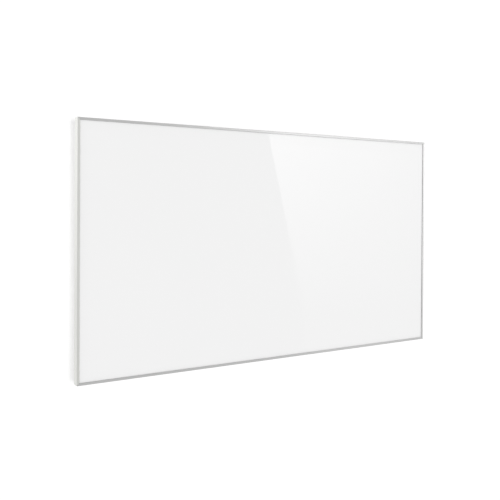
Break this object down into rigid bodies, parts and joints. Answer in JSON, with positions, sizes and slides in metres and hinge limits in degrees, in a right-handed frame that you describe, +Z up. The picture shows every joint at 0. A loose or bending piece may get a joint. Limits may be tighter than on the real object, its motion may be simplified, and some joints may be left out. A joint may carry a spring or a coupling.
{
  "type": "infrared panel heater",
  "caption": "Wall-hung infrared panel heater: white glass front in a slim aluminium frame, steel back with wiring box and rocker switch, hooked onto a wall rail.",
  "frame": {"origin": "middle of the wall rail's flat rear face, where it lies on the wall", "axes": "+X to the right as seen from the front, along the panel's length; +Y into the wall, so the glass faces -Y; +Z up"},
  "size_m": [0.9, 0.042, 0.5],
  "materials": {
    "white_glass": "gloss",
    "anodised_aluminium": "satin",
    "key_aluminium": "satin",
    "black_gasket": "matte",
    "mica_film": "matte",
    "copper_busbar": "satin",
    "reflector_foil": "polished",
    "mineral_board": "matte",
    "powder_coated_steel": "satin",
    "zinc_screw": "satin",
    "zinc_sheet": "satin",
    "black_rubber": "matte",
    "box_plastic": "matte",
    "gland_plastic": "matte",
    "switch_plastic": "matte",
    "rocker_plastic": "satin",
    "terminal_plastic": "matte",
    "brass": "satin",
    "cutout_plastic": "satin",
    "brown_lead": "satin",
    "blue_lead": "satin",
    "earth_lead": "satin"
  },
  "bodies": {
    "wall_bracket": {"wall_rail": "zinc_sheet"},
    "heater": {"front_glass": "white_glass", "frame_top": "anodised_aluminium", "frame_bottom": "anodised_aluminium", "frame_left": "anodised_aluminium", "frame_right": "anodised_aluminium", "corner_key_1": "key_aluminium", "corner_key_2": "key_aluminium", "corner_key_3": "key_aluminium", "corner_key_4": "key_aluminium", "glass_gasket": "black_gasket", "heating_element": "mica_film", "busbar_left": "copper_busbar", "busbar_right": "copper_busbar", "reflector_foil": "reflector_foil", "insulation_board": "mineral_board", "back_plate": "powder_coated_steel", "back_plate_screw_1": "zinc_screw", "back_plate_screw_2": "zinc_screw", "back_plate_screw_3": "zinc_screw", "back_plate_screw_4": "zinc_screw", "back_plate_screw_5": "zinc_screw", "back_plate_screw_6": "zinc_screw", "back_plate_screw_7": "zinc_screw", "back_plate_screw_8": "zinc_screw", "hanger_screw_1": "zinc_screw", "hanger_screw_2": "zinc_screw", "hanger_screw_3": "zinc_screw", "hanger_screw_4": "zinc_screw", "lid_screw_1": "zinc_screw", "lid_screw_2": "zinc_screw", "lid_screw_3": "zinc_screw", "lid_screw_4": "zinc_screw", "box_screw": "zinc_screw", "hanger_left": "zinc_sheet", "hanger_right": "zinc_sheet", "wall_buffer_left": "black_rubber", "wall_buffer_right": "black_rubber", "wire_grommet": "black_rubber", "gland_seal": "black_rubber", "junction_box_base": "box_plastic", "junction_box_lid": "box_plastic", "gland_body": "gland_plastic", "gland_locknut": "gland_plastic", "gland_cap": "gland_plastic", "switch_housing": "switch_plastic", "terminal_block": "terminal_plastic", "terminal_clamp_1": "brass", "terminal_clamp_2": "brass", "terminal_clamp_3": "brass", "earth_screw": "brass", "thermal_cutout_1": "cutout_plastic", "thermal_cutout_2": "cutout_plastic", "lead_live_feed": "brown_lead", "lead_switch_link": "brown_lead", "lead_cutout_link": "brown_lead", "lead_live_busbar": "brown_lead", "lead_neutral": "blue_lead", "lead_earth": "earth_lead"},
    "switch_rocker": {"switch_rocker": "rocker_plastic"}
  },
  "joints": [
    {"name": "lift_off", "type": "slide", "parent": "wall_bracket", "child": "heater", "axis": [0, 0, 1], "range_m": [0, 0.012]},
    {"name": "switch_rock", "type": "hinge", "parent": "heater", "child": "switch_rocker", "pos_m": [0.305, -0.0146, -0.4202], "axis": [0, 1, 0], "range_deg": [0, 16]}
  ]
}
